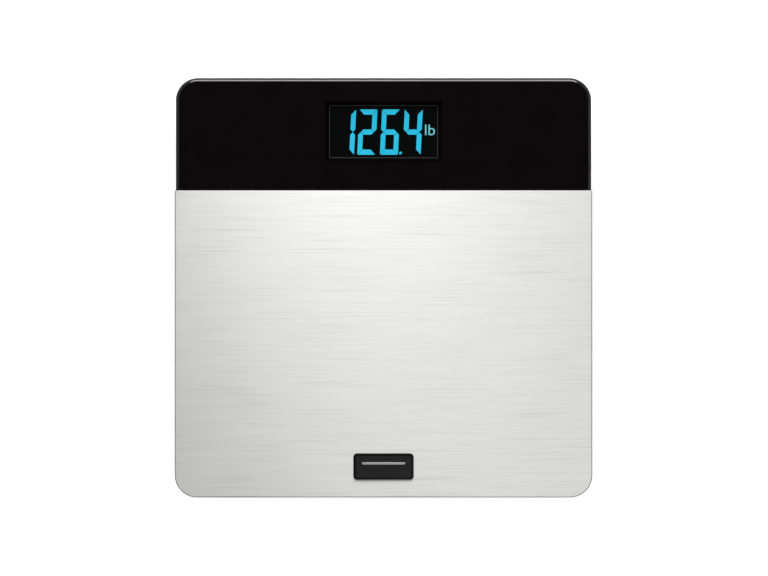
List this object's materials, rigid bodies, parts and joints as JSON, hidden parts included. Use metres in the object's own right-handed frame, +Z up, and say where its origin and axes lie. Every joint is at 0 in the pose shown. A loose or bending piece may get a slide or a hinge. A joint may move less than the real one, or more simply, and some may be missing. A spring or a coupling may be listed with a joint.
{
  "type": "digital bathroom scale",
  "caption": "Flat square bathroom scale: glass platform with a folded brushed steel tread, lit rear display, load cell feet and an underside battery bay.",
  "frame": {"origin": "centre of the platform's outline, on the surface that the foot pads stand on", "axes": "+Z up out of the tread, +Y to the rear where the display is, +X to the right of a person facing the display"},
  "size_m": [0.3, 0.3014, 0.0265],
  "materials": {
    "tempered_glass": "polished",
    "printed_black": "glossy",
    "brushed_steel": "brushed",
    "adhesive_film": "matte",
    "badge_black": "satin",
    "bezel_grey": "matte",
    "display_glass": "polished",
    "light_guide": "satin",
    "white_plastic": "satin",
    "connector_rubber": "matte",
    "circuit_board": "satin",
    "potting_resin": "satin",
    "button_plastic": "matte",
    "housing_plastic": "textured",
    "nickel_plate": "plated",
    "battery_wrap": "glossy",
    "load_cell_steel": "plated",
    "pad_rubber": "matte",
    "sensor_lead": "satin",
    "black_lead": "satin",
    "red_lead": "satin"
  },
  "bodies": {
    "platform": {"backlight_guide": "light_guide", "backlight_led": "white_plastic", "badge": "badge_black", "battery_1": "battery_wrap", "battery_2": "battery_wrap", "battery_3": "battery_wrap", "battery_lead_left": "black_lead", "battery_lead_right": "red_lead", "black_print": "printed_black", "chip_cover": "potting_resin", "contact_left_pair": "nickel_plate", "contact_left_single": "nickel_plate", "contact_right_pair": "nickel_plate", "contact_right_single": "nickel_plate", "contact_spring_1": "nickel_plate", "contact_spring_2": "nickel_plate", "contact_spring_3": "nickel_plate", "foot_bracket_front_left": "housing_plastic", "foot_bracket_front_right": "housing_plastic", "foot_bracket_rear_left": "housing_plastic", "foot_bracket_rear_right": "housing_plastic", "foot_cup_front_left": "housing_plastic", "foot_cup_front_right": "housing_plastic", "foot_cup_rear_left": "housing_plastic", "foot_cup_rear_right": "housing_plastic", "foot_pad_front_left": "pad_rubber", "foot_pad_front_right": "pad_rubber", "foot_pad_rear_left": "pad_rubber", "foot_pad_rear_right": "pad_rubber", "glass_platform": "tempered_glass", "housing_cover": "housing_plastic", "housing_frame": "housing_plastic", "housing_screw_front_left": "nickel_plate", "housing_screw_front_right": "nickel_plate", "housing_screw_rear_left": "nickel_plate", "housing_screw_rear_right": "nickel_plate", "lcd_bezel": "bezel_grey", "lcd_panel": "display_glass", "load_cell_front_left": "load_cell_steel", "load_cell_front_right": "load_cell_steel", "load_cell_lead_front_left": "sensor_lead", "load_cell_lead_front_right": "sensor_lead", "load_cell_lead_rear_left": "sensor_lead", "load_cell_lead_rear_right": "sensor_lead", "load_cell_rear_left": "load_cell_steel", "load_cell_rear_right": "load_cell_steel", "main_board": "circuit_board", "steel_tread": "brushed_steel", "switch_body": "housing_plastic", "tread_adhesive": "adhesive_film", "wire_cover_left": "housing_plastic", "wire_cover_right": "housing_plastic", "zebra_strip": "connector_rubber"},
    "battery_door": {"battery_door": "housing_plastic"},
    "unit_button": {"unit_button": "button_plastic", "switch_plunger": "white_plastic"}
  },
  "joints": [
    {"name": "battery_door_hinge", "type": "hinge", "parent": "platform", "child": "battery_door", "pos_m": [0, 0.043, 0.0049], "axis": [-1, 0, 0], "range_deg": [0, 100]},
    {"name": "unit_button_travel", "type": "slide", "parent": "platform", "child": "unit_button", "axis": [0, 0, 1], "range_m": [0, 0.0006], "stiffness_N_per_m": 2000}
  ]
}
